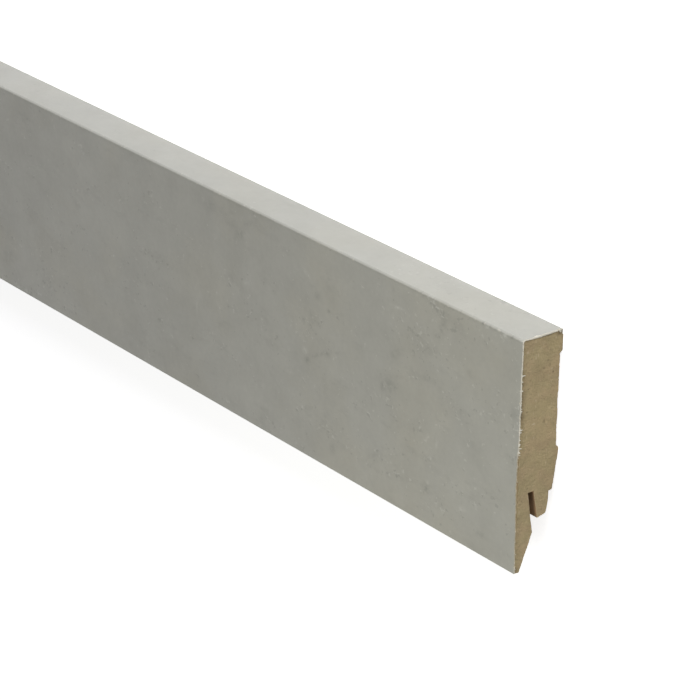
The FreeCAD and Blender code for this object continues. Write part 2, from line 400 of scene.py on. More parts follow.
def place(section, heights, distances, along):
    """Points of the frame from height above the foot, distance from the wall and place along the board."""
    return np.stack(np.broadcast_arrays(along, heights - section.height / 2, distances), axis=-1)


# The crumbled line beside the foil at the near end, darkened by its glue and by painted shade: run from the
# foot over the top, in mm, and strength.
GLUE_LINE_AND_SHADE = (
    (0, 0.9), (8, 0.8), (10, 0.35), (28, 0.35), (33, 1), (36, 1.5), (41, 1.6), (43, 1.1), (45.5, 1.4),
    (48, 1.4), (50, 0.8), (53, 0.45), (57.5, 0.45), (59, 0.6), (62, 0.6), (62.6, 1.5), (65.5, 1.5),
    (66.5, 0.9),
)

# Marks on the near end: height above the foot, distance from the wall, half height, half width, all in mm,
# and how dark each one is. Pale fibres are below zero.
NEAR_MARKS = (
    (57.1, 1.2, 0.5, 0.6, 0.7), (56.3, 2.2, 0.35, 0.15, -0.7), (51.3, 4.2, 0.2, 0.2, 0.9),
    (50, 3.6, 0.4, 0.3, 0.5), (49.6, 5.35, 0.16, 0.24, 0.8), (49.1, 6.3, 0.4, 0.7, 0.3),
    (48.9, 3, 0.2, 0.18, -0.7), (48, 2.6, 0.3, 0.28, 0.9), (47.7, 9.3, 0.14, 0.22, 0.7),
    (47.1, 8.6, 0.2, 0.14, 0.5), (54.7, 10.4, 0.35, 0.16, -0.7), (52.7, 7.9, 0.25, 0.2, -0.5),
    (42.3, 7.5, 0.25, 0.15, -0.5), (40.1, 10, 0.2, 0.22, 0.8), (39.6, 10.3, 0.2, 0.15, -0.5),
    (36.5, 4.7, 0.5, 0.16, 0.9), (36.6, 7.9, 0.16, 0.4, -0.7), (33.2, 7.7, 0.25, 0.2, -0.5),
    (30.7, 9.3, 0.16, 0.2, 0.5), (13.9, 11.3, 0.25, 0.5, 0.4),
)


def beside_foil(section, heights, distances):
    """How far a point is from the foil, and its run along the foil, from the foot over the top."""
    top, face = section.height - section.foil, section.depth - section.foil
    over, front = top - heights, face - distances
    return np.maximum(np.minimum(over, front), 0), np.where(front < over, heights, top + front)


def end_relief(section, sawn, heights, distances, seed):
    """How far the sawn core lies behind the foil's edge, and how dark the line beside the foil is made, by
    its glue and by painted shade.

    The relief is the setback, plus noise of fibre size and of chip size, plus a crumbled groove beside the
    foil. The groove falls off as exp(-(d/w)^2) with the distance from the foil, and the darkening does so
    over nearly twice that width. Their strength follows a table and noise.
    """
    fibres = noise_sum(heights, distances, seed, (1.0, 0.33), (0.6, 0.65), (0.8, 3.0))
    beside, run = beside_foil(section, heights, distances)
    broken = noise_sum(run, beside, seed + 3, (0.45, 0.9), (0.35, 0.3), base=1.0)
    strength = np.interp(run, *(np.array(GLUE_LINE_AND_SHADE).T * ((MM,), (1,)))) * broken
    # The darkening beside the foil is partly the glue's own colour and partly painted shade of the crumbled
    # groove.
    groove, glue_stain_and_shade = (np.exp(-(beside / (wide * sawn.glue_width)) ** 2) * strength for wide in (1.0, 1.9))
    relief = sawn.core_setback + sawn.fibre_relief * fibres + sawn.glue_groove * groove
    least = 0.02 * MM
    return np.maximum(relief, least), glue_stain_and_shade


def nibbled(section, sawn, heights, from_side, seed):
    """How far the core's milled edge is chipped away at the sawn end, near the edge.

    It is the positive part of a noise times exp(-d/r), and a third of that from the heel down.
    """
    wave = noise_sum(heights, from_side, seed, (1.0, 1.4), (0.6, 0.45))
    size = np.where(heights > section.lower_land_foot, sawn.rim_chip, sawn.rim_chip / 3)
    reach = 0.4 * MM
    return size * np.clip(wave, 0, 2) * np.exp(-from_side / reach)


def spots(heights, distances, marks):
    """The named marks, added up. Each is its amount times exp(-(dh/a)^2 - (dz/b)^2)."""
    height, distance, tall, wide, amount = (column[:, None] for column in np.array(marks).T)
    spread = ((heights - height * MM) / (tall * MM)) ** 2 + ((distances - distance * MM) / (wide * MM)) ** 2
    return (amount * np.exp(-spread)).sum(axis=0)


def along_stations(length, *close):
    """Places along the board: those close to both sawn ends, in mm from them, and a few between."""
    half = length / 2
    near_end = half - np.array(close) * MM
    inner = half - 0.1
    middle = np.linspace(-inner, inner, 13)
    return np.concatenate([near_end, middle[::-1], -near_end[::-1]])


def make_core(section, sawn, materials):
    """The fibreboard core: both sawn faces as displaced grids, joined by the outline drawn along the board.

    The marks on the sawn faces are the glue line with its painted shade beside the foil, a darker rim along
    the milled edges, the named marks and, below zero, painted light along the slot's near side at its open
    end.
    """
    flat, zones, outline = section_grid(section, sawn.pitch)
    heights, distances, from_side = flat.T
    stations = along_stations(section.length, 1.0, 5.0, 30.0)
    uneven = np.clip(noise_sum(heights, distances, 71, (0.5, 2.6), base=0.25), 0, 1)
    rim_reach, mouth_light_reach = 0.22 * MM, 0.08 * MM
    rim = np.exp(-from_side / rim_reach) * uneven
    # Painted light: a pale strip along the slot's near side, standing in for the light that comes in at the
    # slot's open end.
    from_slot = slot_sides(section, heights)[0] - distances
    slot_mouth_light = 0.3 * np.exp(-(from_slot / mouth_light_reach) ** 2) * (heights < section.slot_top)
    ends, end_marks = [], []
    for side, seed, marks in ((1, 11, NEAR_MARKS), (-1, 23, NEAR_MARKS[-3:])):
        relief, glue_stain_and_shade = end_relief(section, sawn, heights, distances, seed)
        chipped = nibbled(section, sawn, heights, from_side, seed + 5)
        along = side * (section.length / 2 - relief - 0.5 * chipped)
        ends.append(place(section, heights, distances + chipped, along))
        # The marks: the glue line with its painted shade, the darker rim, the named marks, and painted
        # light at the slot's mouth.
        end_marks.append(0.42 * glue_stain_and_shade + rim + spots(heights, distances, marks) - slot_mouth_light)
    edge_heights, edge_distances, _ = flat[outline].T
    rings = place(section, edge_heights, edge_distances, stations[:, None])
    ring_index = grid_index(2 * len(flat), rings)
    sides = quads(closed(np.vstack([outline, ring_index, len(flat) + outline])))[:, ::-1]
    near_side, far_side = slot_sides(section, edge_heights)
    slack = 0.01 * MM
    in_slot = (edge_heights > section.leg_bottom + slack) & (edge_heights < section.slot_top + slack)
    in_slot &= (edge_distances > near_side - slack) & (edge_distances < far_side + slack)
    skins = np.tile(np.where(in_slot & np.roll(in_slot, -1), 2, 1), len(stations) + 1)
    near_faces = np.concatenate([quads(index) for index in zones])
    far_faces = (len(flat) + near_faces)[:, ::-1]
    build_piece(
        "fibreboard_core",
        points=np.concatenate([*ends, rings.reshape(-1, 3)]),
        faces=np.concatenate([near_faces, far_faces, sides]),
        materials=materials,
        material_index=np.concatenate([np.zeros(2 * len(near_faces)), skins]),
        marks=np.concatenate([*end_marks, np.zeros(ring_index.size)]),
        node="mdf_core",
    )


def wrap_line(section, pitch):
    """The foil's outer line from the lip's tip over the top to its tail, with its outward directions.

    Straight runs are joined by two quarter rounds, of the core's radius plus the foil's thickness.
    """
    front = section.front_round + section.foil
    back = section.back_round + section.foil
    top, face, tail = section.height, section.depth, section.foil_setback
    quarter = np.linspace(0, math.pi / 2, 11)[1:-1]
    rise, turn = np.sin(quarter), np.cos(quarter)
    parts = [
        (steps(0.0, top - front, pitch), face, 0.0, 1.0),
        (top - front + front * rise, face - front + front * turn, rise, turn),
        (top, steps(face - front, tail + back, pitch), 1.0, 0.0),
        (top - back + back * turn, tail + back - back * rise, turn, -rise),
        (steps(top - back, top - section.foil_tail, pitch), tail, 0.0, -1.0),
    ]
    return np.concatenate([np.stack(np.broadcast_arrays(*part), axis=-1) for part in parts])


def run_length(line):
    """Distance along a line of points, from its start."""
    return np.concatenate([[0.0], np.cumsum(np.linalg.norm(np.diff(line[:, :2], axis=0), axis=1))])


# The foil's sawn edge at the near end: run from the foot over the top, in mm, how far the edge lies back,
# in mm, and how much the saw has dulled its cut paper.
NEAR_EDGE = (
    (0, 0.05, 0.6), (2, 0.12, 0.6), (4.4, 0.22, 0.6), (6.8, 0.3, 0.9), (10.5, 0.24, 1), (14.2, 0.45, 1),
    (17.9, 0.45, 1), (21.6, 0.6, 1), (25.3, 0.52, 0.9), (29, 0.46, 0.8), (31, 0.3, 0.2),
    (33.9, 0.18, 0.1), (38.8, 0.12, 0.2), (43.7, 0.05, 0), (48.6, 0.18, 0), (50, 0.12, 0), (53.5, 0, 0),
    (67.9, 0, 0), (68.1, 0.3, 0.8), (68.3, 0, 0), (71, 0, 0.3),
)

FAR_EDGE = (
    (0, 0.05, 0.2), (30, 0.12, 0.5), (71, 0, 0.1),
)

# Burrs of torn paper: run from the foot over the top, how far they reach over the core, and their width,
# all in mm.
NEAR_BURRS = (
    (68.8, 0.5, 0.8), (63.8, 0.2, 8.6), (49.35, 0.85, 0.24), (47.9, 0.25, 0.3), (45.7, 0.35, 0.33),
    (41.3, 0.22, 0.3), (40.7, 0.3, 0.25), (36.1, 0.55, 0.35), (35.5, 0.4, 0.22), (31.5, 0.7, 0.22),
    (29.9, 0.25, 0.2), (23.2, 0.12, 0.22), (4.9, 0.12, 0.3), (1.2, 0.12, 0.3),
)

FAR_BURRS = (
    (51.5, 0.45, 0.3), (38.1, 0.65, 0.22), (26.8, 0.3, 0.36), (16, 0.22, 0.3),
)


def torn_edge(run, sawn, edge, burrs, seed):
    """How far the foil's sawn edge lies back, its chips, its burrs and how dull its cut paper is.

    The edge follows its table and a small noise. Chips and burrs follow the squared positive part of a sum
    of noises, smaller where the cut is dull. A named burr adds its reach times exp(-(d/w)^4), with half its
    width as w.
    """
    coarse, medium, fine, other = (smooth_noise(run, 0.0, cell * MM, seed + n)
                                   for n, cell in enumerate((0.9, 0.35, 0.16, 0.5)))
    at, back, dull = np.array(edge).T
    wobble = 0.03 * MM
    back = np.interp(run, at * MM, back * MM) + wobble * np.clip(medium + coarse, 0, 2)
    dull = np.clip(np.interp(run, at * MM, dull) + 0.35 * medium, 0, 1)
    sharp = 1 - 0.75 * dull
    chip = sawn.chip * sharp * (0.3 + np.clip(coarse + 0.7 * medium + 0.6 * fine, 0, 2) ** 2)
    burr = sawn.burr * sharp * (0.3 + np.clip(other + 0.8 * fine, 0, 2) ** 2)
    for place_on_run, reach, width in burrs:
        burr = burr + reach * MM * np.exp(-((run - place_on_run * MM) / (width * MM / 2)) ** 4)
    return back, chip, burr, dull


def foil_end(section, line, back, chip, burr, side):
    """The foil's sawn edge as rings of points, from the printed face round to the glue side.

    The print is chipped back by the chips and the bare paper slopes to the sawn edge. The longer a burr is,
    the more it stands out from the edge, to lie over the core.
    """
    heights, distances, up, out = line.T
    flap, long_burr = 0.04 * MM, 0.15 * MM
    over = back * (1 - np.clip(burr / long_burr, 0, 1))
    rings = (
        (0.0, back + chip),
        (0.30 * section.foil, back + 0.35 * chip),
        (0.50 * section.foil, back),
        (0.80 * section.foil, 0.5 * (back + over)),
        (section.foil + 0.55 * burr, over),
        (section.foil + burr, over + 0.5 * flap),
        (section.foil + 0.55 * burr, over + flap),
        (section.foil, back + 3 * flap),
    )
    return np.stack([
        place(section, heights - up * sunk, distances - out * sunk, side * (section.length / 2 - behind))
        for sunk, behind in rings])


def make_foil(section, sawn, materials):
    """The foil: its outer face, the near sawn edge, the glue side and the far sawn edge, as a closed tube.

    Each ring of points runs from the lip's tip to the tail. Two strips close the tip and the tail, between
    each point and the one opposite, counted from the middle of the far edge.
    """
    line = wrap_line(section, sawn.foil_pitch)
    run = run_length(line)
    heights, distances, up, out = line.T
    stations = along_stations(section.length, 2.0, 6.0, 30.0)
    outer, inner = (place(section, heights - up * sunk, distances - out * sunk, stations[:, None])
                    for sunk in (0.0, section.foil))
    plain = np.zeros((len(stations), len(line)))
    ends, marks = [], []
    for edge, burrs, seed, side in ((NEAR_EDGE, NEAR_BURRS, 31, 1), (FAR_EDGE, FAR_BURRS, 47, -1)):
        *shape, dull = torn_edge(run, sawn, edge, burrs, seed)
        ends.append(foil_end(section, line, *shape, side))
        marks += [plain, np.tile(dull, (len(ends[-1]), 1))]
    rings = np.concatenate([outer[::-1], ends[0], inner, ends[1][::-1]])
    index = closed(grid_index(0, rings).T).T
    bare = np.ones(len(rings))
    bare[:len(stations)] = bare[-1] = 0
    loop = np.roll(index[:-1], len(ends[1]) // 2, axis=0)
    half = len(loop) // 2
    tip, tail = (quads(np.stack([ring[:half], ring[:half - 1:-1]], axis=1))
                 for ring in (loop[:, 0], loop[:, -1]))
    caps = np.concatenate([tip[:, ::-1], tail])
    build_piece(
        "concrete_foil",
        points=rings.reshape(-1, 3),
        faces=np.concatenate([quads(index), caps]),
        materials=materials,
        material_index=np.concatenate([np.repeat(bare, len(line) - 1), np.ones(len(caps))]),
        marks=np.concatenate(marks).ravel(),
        node="decor_foil",
    )


# Nodes

def feed(node, **inputs):
    """Give a node's inputs values or links, by name with _ for a space, or by number as in _0."""
    for name, value in inputs.items():
        socket = node.inputs[int(name[1:]) if name[1:].isdigit() else name.replace("_", " ")]
        if isinstance(value, bpy.types.NodeSocket):
            node.id_data.links.new(value, socket)
        else:
            socket.default_value = value


def new_node(tree, kind, **given):
    """Add a node to a tree. Names in lower case are settings of its own, and the others are inputs."""
    node = tree.nodes.new("ShaderNode" + kind)
    for name, value in given.items():
        if name.islower():
            setattr(node, name, value)
        else:
            feed(node, **{name: value})
    return node


def add_node(kind, **given):
    """Add a node to the tree of the sockets that it is given."""
    tree = next(value.id_data for value in given.values() if isinstance(value, bpy.types.NodeSocket))
    return new_node(tree, kind, **given)


def maths(operation, first, second=0.0, clamp=False):
    """One step of arithmetic on values or sockets."""
    return add_node("Math", operation=operation, use_clamp=clamp, _0=first, _1=second).outputs[0]


plus, minus, times = (partial(maths, operation) for operation in ("ADD", "SUBTRACT", "MULTIPLY"))


def vectors(operation, output=0, **inputs):
    """One step of arithmetic on vectors."""
    return add_node("VectorMath", operation=operation, **inputs).outputs[output]


def mapped(vector, kind="POINT", **inputs):
    """A vector moved, turned and stretched."""
    return add_node("Mapping", vector_type=kind, Vector=vector, **inputs).outputs[0]


def noise(coordinates, scale, detail=2.0, roughness=0.5):
    """A noise pattern from 0 to 1."""
    inputs = {"Scale": scale, "Detail": detail, "Roughness": roughness}
    return add_node("TexNoise", Vector=coordinates, **inputs).outputs["Fac"]


def remap(value, low, high, to_low=0.0, to_high=1.0):
    """Stretch a range of values on to another, clamped."""
    return add_node("MapRange", Value=value, From_Min=low, From_Max=high, To_Min=to_low,
                    To_Max=to_high).outputs[0]


def mix_colour(factor, first, second, blend="MIX"):
    """Blend two colours by a factor. Each is a colour property or a socket."""
    first, second = (colour if isinstance(colour, bpy.types.NodeSocket) else (*colour, 1.0)
                     for colour in (first, second))
    return add_node("Mix", data_type="RGBA", blend_type=blend, _0=factor, _6=first, _7=second).outputs[2]


def stained(colour, mask, share, shade, clamp=False):
    """A colour with a shade mixed in, by a share of a mask."""
    return mix_colour(times(mask, share, clamp), colour, shade)


def marked(colour, marks, dark, pale):
    """A colour with marks mixed in: dark above zero and pale below it."""
    for sign, shade in ((1.0, dark), (-1.0, pale)):
        colour = stained(colour, marks, sign, shade, clamp=True)
    return colour


def tinted(colour, tone):
    """A colour made lighter or darker by a tone round 1."""
    grey = add_node("CombineColor", Red=tone, Green=tone, Blue=tone).outputs[0]
    return mix_colour(1.0, colour, grey, "MULTIPLY")


def bump(height, distance, strength):
    """A bump from a height pattern that is so many metres high."""
    return add_node("Bump", Height=height, Distance=distance, Strength=strength).outputs[0]


def mesh_marks(material):
    """The marks that a piece's mesh carries."""
    return new_node(material.node_tree, "Attribute", attribute_name="marks").outputs["Fac"]


def new_group(name, inputs, outputs):
    """A shader node group. Inputs come with their defaults, or None for a vector. Outputs are numbers."""
    group = bpy.data.node_groups.new(name, "ShaderNodeTree")
    for label, default in inputs.items():
        kind = "NodeSocketVector" if default is None else "NodeSocketFloat"
        socket = group.interface.new_socket(label, in_out="INPUT", socket_type=kind)
        if default is not None:
            socket.default_value = default
    for label in outputs:
        group.interface.new_socket(label, in_out="OUTPUT", socket_type="NodeSocketFloat")
    return group, group.nodes.new("NodeGroupInput").outputs, group.nodes.new("NodeGroupOutput")


def fleck_group(name):
    """Scattered flecks: ragged dots round the points of a Voronoi pattern, kept in some of its cells."""
    group, given, result = new_group(
        name, {"Vector": None, "Scale": 300.0, "Size": 0.2, "Share": 0.3, "Ragged": 0.0}, ("Mask",))
    wander = add_node("TexNoise", Vector=given["Vector"], Scale=2600.0, Detail=1.0)
    centred = vectors("SUBTRACT", _0=wander.outputs["Color"], _1=(0.5, 0.5, 0.5))
    bent = vectors("SCALE", _0=centred, Scale=given["Ragged"])
    here = vectors("ADD", _0=given["Vector"], _1=bent)
    cells = add_node("TexVoronoi", Vector=here, Scale=given["Scale"]).outputs
    chance, size, depth = add_node("SeparateColor", Color=cells["Color"]).outputs
    kept = maths("LESS_THAN", chance, given["Share"])
    reach = times(given["Size"], plus(size, 0.35))
    dot = minus(1.0, maths("DIVIDE", cells["Distance"], reach), clamp=True)
    soft = times(dot, 2.5, clamp=True)
    strong = times(soft, plus(times(depth, 0.6), 0.4))
    feed(result, Mask=times(strong, kept))
    return group


def pore_group(name):
    """Irregular dark pores, where a fine noise and the crowd's value pass a threshold, with light rims.

    The rims are the same pattern moved by the shift, where the pores themselves leave room.
    """
    group, given, result = new_group(
        name, {"Vector": None, "Scale": 900.0, "Crowd": 0.5, "Threshold": 0.7, "Shift": None},
        ("Mask", "Rim"))
    beside = vectors("ADD", _0=given["Vector"], _1=given["Shift"])
    pores, contrast = [], 14.0
    for here in (given["Vector"], beside):
        level = plus(noise(here, given["Scale"], 2.0, 0.6), given["Crowd"])
        pores.append(times(minus(level, given["Threshold"]), contrast, clamp=True))
    feed(result, Mask=pores[0], Rim=minus(pores[1], pores[0], clamp=True))
    return group


def cloud_group(name):
    """Even, shadowless tone changes: noise at three sizes, each with its own strength, added round 1."""
    group, given, result = new_group(
        name, {"Vector": None, "Large": 0.05, "Medium": 0.05, "Fine": 0.05, "Scale": 20.0}, ("Tone",))
    total = 1.0
    for label, finer, detail in (("Large", 1.0, 2.0), ("Medium", 6.0, 3.0), ("Fine", 45.0, 2.0)):
        pattern = noise(given["Vector"], times(given["Scale"], finer), detail)
        total = plus(times(minus(pattern, 0.5), given[label]), total)
    feed(result, Tone=total)
    return group


def spot_group(name):
    """One soft spot, added to a sum: its amount times exp(-d^2), with d in its own turned half sizes."""
    group, given, result = new_group(
        name, {"Vector": None, "Place": None, "Turn": None, "Reach": None, "Amount": 0.3, "Sum": 0.0},
        ("Sum",))
    here = mapped(given["Vector"], "TEXTURE", Location=given["Place"], Rotation=given["Turn"],
                  Scale=given["Reach"])
    squared = vectors("DOT_PRODUCT", "Value", _0=here, _1=here)
    mask = maths("EXPONENT", times(squared, -1.0))
    feed(result, Sum=plus(times(mask, given["Amount"]), given["Sum"]))
    return group


SHARED_GROUPS = {
    "Flecks": fleck_group,
    "Pores": pore_group,
    "Tone clouds": cloud_group,
    "Soft spot": spot_group,
}


def use_group(name, **inputs):
    """Place a shared node group with its own values. The group is built on its first use."""
    group = bpy.data.node_groups.get(name) or SHARED_GROUPS[name](name)
    return add_node("Group", node_tree=group, **inputs).outputs


def clouded(colour, vector, scale, large, medium, fine):
    """A colour with even tone changes of three sizes."""
    tone = use_group("Tone clouds", Vector=vector, Large=large, Medium=medium, Fine=fine, Scale=scale)
    return tinted(colour, tone["Tone"])


# Materials

def new_material(name):
    """An empty material with its shader and its object coordinates."""
    material = bpy.data.materials.new(name)
    material.use_nodes = True
    tree = material.node_tree
    tree.nodes.clear()
    shader = new_node(tree, "BsdfPrincipled")
    add_node("OutputMaterial", Surface=shader.outputs[0])
    return material, shader, new_node(tree, "TexCoord").outputs["Object"]


# Marks of the print near the right end, and last painted shade and highlight on the top front arris:
# distance from that end and height above the foot, half length and half height, all in mm, slant in
# degrees, and how dark each one is. Light ones are below zero.
PRINT_MARKS_AND_ARRIS_SHADE = (
    (46.3, 30.6, 3, 2.3, 0, 0.34), (48.3, 29, 0.7, 1.2, 0, 0.25), (77.3, 25.6, 1, 1, 20, 0.5),
    (73.5, 28.2, 3.4, 0.45, 28, 0.35), (70, 29.9, 1.6, 0.8, 10, 0.35), (78.2, 27.8, 0.8, 0.9, 0, -0.45),
    (66, 31.5, 3, 0.4, 18, 0.15), (104.8, 49.6, 2.2, 1.5, 45, 0.35), (108, 51.3, 3.5, 1.2, 15, 0.22),
    (101.5, 53.6, 2.2, 0.6, 20, 0.25), (116.5, 53.4, 2.4, 1.6, 0, 0.28), (27.4, 51.6, 1.2, 4, -20, 0.28),
    (30.5, 45, 1.6, 0.9, 0, 0.25), (44.3, 38.8, 3.2, 1.2, 45, 0.22), (31.5, 9.3, 1, 1.4, 0, 0.4),
    (31.2, 10.8, 0.5, 0.5, 0, -0.45), (69.5, 13, 2, 2.2, 0, 0.18), (70.5, 22, 0.9, 2.6, 0, 0.18),
    (78.7, 36, 0.8, 0.7, 0, 0.45), (76, 38.2, 2, 1.2, 0, 0.14), (50.5, 10.3, 2.6, 0.7, 20, 0.22),
    (95.5, 5.9, 2.2, 0.5, 0, 0.28), (95.5, 2.8, 1.2, 1.6, 0, 0.18), (67, 6, 1.1, 1.5, 0, 0.28),
    (12, 5.3, 1.8, 0.8, 0, 0.28), (2.2, 39.3, 1.6, 1.6, 0, 0.25), (73.5, 43.8, 0.9, 0.8, 0, 0.35),
    (69, 41.3, 0.6, 0.5, 0, 0.4), (33.5, 36.8, 2.5, 0.5, 8, 0.28), (43.5, 51.1, 2.2, 0.35, 5, -0.45),
    (45, 54.8, 0.5, 1.2, 0, 0.25), (17, 43.8, 1.2, 0.9, 0, 0.25), (102.3, 37.6, 1.5, 0.5, 15, -0.35),
    (19, 8.9, 1.6, 0.6, 20, -0.35), (84.2, 20, 1.3, 0.5, 10, -0.3), (123.3, 23.5, 0.5, 1.8, 0, -0.3),
    # From the mark at 13.4 mm on, the last seven lie on the top front arris: painted shade and painted
    # highlight for the wobble of light along its round.
    (28.3, 22, 0.4, 1.2, 0, -0.35), (78, 48.3, 0.8, 0.6, 0, -0.35), (13.4, 57.6, 0.4, 0.4, 0, 0.8),
    (12, 57.2, 0.6, 0.4, 0, -1), (11.1, 57.6, 0.35, 0.35, 0, 0.65), (9.4, 57.6, 0.6, 0.4, 0, 0.3),
    (7.6, 57.6, 0.35, 0.35, 0, 0.5), (6, 57.15, 0.7, 0.5, 0, -1), (3.5, 57.6, 0.7, 0.4, 0, 0.55),
)


def print_marks_and_arris_shade(section, coordinates):
    """The named marks of the print and the painted shade and highlight on the arris as one sum, broken up
    by a fine noise.
    """
    total = 0.0
    for from_end, height, length, tall, slant, amount in PRINT_MARKS_AND_ARRIS_SHADE:
        at = (section.length / 2 - from_end * MM, height * MM - section.height / 2, section.depth)
        turn, reach = (0.0, 0.0, math.radians(slant)), (length * MM, tall * MM, MM)
        total = use_group("Soft spot", Vector=coordinates, Place=at, Turn=turn, Reach=reach,
                          Amount=amount, Sum=total)["Sum"]
    broken = remap(noise(coordinates, 800.0, 3.0, 0.65), 0.38, 0.62, 0.35, 1.8)
    return times(total, broken)


# Small and large pores of the print: scale, threshold, how far the light rims are moved, and how strong
# the rims and the pores are.
PORES = (
    (720.0, 0.68, (0.0113, -0.0071, 0.0), 0.54, 0.46),
    (390.0, 0.725, (-0.00012, -0.00040, 0.0), 0.60, 0.50),
)


def decor_material(section, finish):
    """The printed concrete: quiet clouds, stains, named marks, pores with light rims and a worn arris, with
    painted shade and highlight on the arris and the print muted on the top as painted sheen.
    """
    material, shader, coordinates = new_material("ConcreteDecor")
    patches = remap(noise(coordinates, 42.0), 0.45, 0.75)
    colour = mix_colour(patches, finish.decor, finish.decor_warm)
    colour = clouded(colour, coordinates, 18.0, 0.14, 0.22, 0.11)

    slanted = mapped(coordinates, Rotation=(0.0, 0.0, 0.7), Scale=(0.45, 1.0, 1.0))
    stains = remap(noise(slanted, 190.0, 5.0, 0.68), 0.56, 0.70)
    colour = stained(colour, stains, 0.24, finish.pore)
    smears = remap(noise(slanted, 420.0, 4.0, 0.6), 0.66, 0.72)
    colour = stained(colour, smears, 0.16, finish.pore_rim)
    colour = marked(colour, print_marks_and_arris_shade(section, coordinates), finish.pore, finish.pore_rim)

    axes = add_node("SeparateXYZ", Vector=coordinates).outputs
    clusters = times(minus(noise(slanted, 95.0, 3.0, 0.6), 0.5), 0.48)
    swell = maths("SINE", plus(times(axes["X"], 30.0), -2.30))
    crowd = plus(clusters, times(swell, 0.018))
    for scale, threshold, shift, light, dark in PORES:
        pores = use_group("Pores", Vector=coordinates, Scale=scale, Crowd=crowd, Threshold=threshold,
                          Shift=shift)
        colour = stained(colour, pores["Rim"], light, finish.pore_rim)
        colour = stained(colour, pores["Mask"], dark, finish.pore)

    half, corner = section.height / 2, section.height / 2 + section.depth
    arris = remap(plus(axes["Y"], axes["Z"]), corner - 0.8 * MM, corner - 0.5 * MM)
    nicks = remap(noise(coordinates, 900.0, 3.0, 0.6), 0.60, 0.68)
    colour = stained(colour, times(arris, nicks), 0.55, finish.paper)
    # Painted sheen: on the top face the print is mixed toward the plain grey, as the gloss there would dull
    # it.
    top_painted_sheen = remap(axes["Y"], half - 0.7 * MM, half, 0.0, 0.45)
    colour = mix_colour(top_painted_sheen, colour, finish.decor)

    gloss = remap(noise(coordinates, 260.0), 0.3, 0.7, 0.46, 0.58)
    sunk = minus(noise(coordinates, 1600.0, 3.0), times(pores["Mask"], 0.5))
    ripple = times(times(arris, noise(coordinates, 700.0, 3.0)), 9.0)
    normal = bump(plus(sunk, ripple), 0.03 * MM, 0.35)
    feed(shader, Base_Color=colour, Roughness=gloss, Normal=normal)
    return material


def paper_material(finish):
    """The foil's bare paper at its cut, chipped and glued sides, duller where the marks say so."""
    material, shader, coordinates = new_material("FoilPaper")
    colour = mix_colour(mesh_marks(material), finish.paper, finish.paper_dull)
    colour = clouded(colour, coordinates, 120.0, 0.10, 0.30, 0.45)
    feed(shader, Base_Color=colour, Roughness=0.8)
    return material


def fibre_material(finish, name, colour, warm, clouds, stretch, speckle, mouth_light):
    """Fibreboard: mottled brown with ragged dark specks and slanted pale fibres, over a torn fibre bump.

    The clouds are the strengths of the large, medium and fine tone changes. A stretch below 1 drags the
    pattern out along the board, where a cutter has run. The mesh's marks are mixed in last. On the slot's
    skin they change its tone instead, by so many times: lighter below zero, as painted light that comes in
    at the slot's open end, and darker above it.
    """
    material, shader, coordinates = new_material(name)
    dragged = mapped(coordinates, Scale=(stretch, 1.0, 1.0))
    warmer = remap(noise(dragged, 230.0), 0.42, 0.62)
    base = clouded(mix_colour(warmer, colour, warm), dragged, 60.0, *clouds)
    crowd = remap(noise(dragged, 260.0, 1.0), 0.38, 0.66, 0.04, 0.34)
    dark = use_group("Flecks", Vector=dragged, Scale=1300.0, Size=0.30, Share=crowd, Ragged=0.6 * MM)
    base = stained(base, dark["Mask"], 0.55 * speckle, finish.board_dark)
    for turn, share in ((0.7, 0.26), (-0.5, 0.14)):
        tilted = mapped(dragged, Rotation=(turn, 0.0, 0.0), Scale=(1.0, 0.40, 1.5))
        pale = use_group("Flecks", Vector=tilted, Scale=1150.0, Size=0.24, Share=share, Ragged=0.3 * MM)
        base = stained(base, pale["Mask"], 0.45 * speckle, finish.board_pale)
    marks = mesh_marks(material)
    # On the slot's skin the marks paint light at its open end below zero, and darken it above zero.
    if mouth_light:
        base = tinted(base, plus(times(marks, -mouth_light), 1.0))
    else:
        base = marked(base, marks, finish.board_dark, finish.board_pale)
    fibres = bump(noise(dragged, 2600.0, 3.0, 0.6), 0.06 * MM, 0.5)
    feed(shader, Base_Color=base, Roughness=0.85, Specular_IOR_Level=0.25, Normal=fibres)
    return material


def seen_rays(owner):
    """1 for rays that look at the white ground, straight or in a reflection, and 0 for light itself."""
    path = new_node(owner.node_tree, "LightPath").outputs
    seen = plus(path["Is Camera Ray"], path["Is Glossy Ray"], clamp=True)
    return plus(seen, path["Is Transmission Ray"], clamp=True)


def floor_material(stage):
    """A pale floor that reads as white to the camera and to reflections, and keeps the board's shadow."""
    material, shader, _ = new_material("PaleFloor")
    glow = times(seen_rays(material), stage.floor_glow)
    feed(shader, Base_Color=(*stage.floor, 1.0), Roughness=0.9, Specular_IOR_Level=0.0,
         Emission_Color=(1.0, 1.0, 1.0, 1.0), Emission_Strength=glow)
    return material


# Stage

def make_floor(stage):
    """A wide level floor under the board."""
    reach = 60.0
    mesh = bpy.data.meshes.new("floor")
    corners = [(-reach, -reach, 0.0), (reach, -reach, 0.0), (reach, reach, 0.0), (-reach, reach, 0.0)]
    mesh.from_pydata(corners, [], [(0, 1, 2, 3)])
    mesh.materials.append(floor_material(stage))
    floor = add_object("floor", mesh)


def make_lamp(name, kind, power, colour, turn, spot=(0.0, 0.0, 0.0), **form):
    """A lamp at a spot, whose back looks along the turn."""
    data = bpy.data.lights.new(name, kind)
    data.energy, data.color = power, colour
    for key, value in form.items():
        setattr(data, key, value)
    lamp = add_object(name, data)
    lamp.location = spot
    lamp.rotation_euler = Vector(turn).to_track_quat("Z", "Y").to_euler()


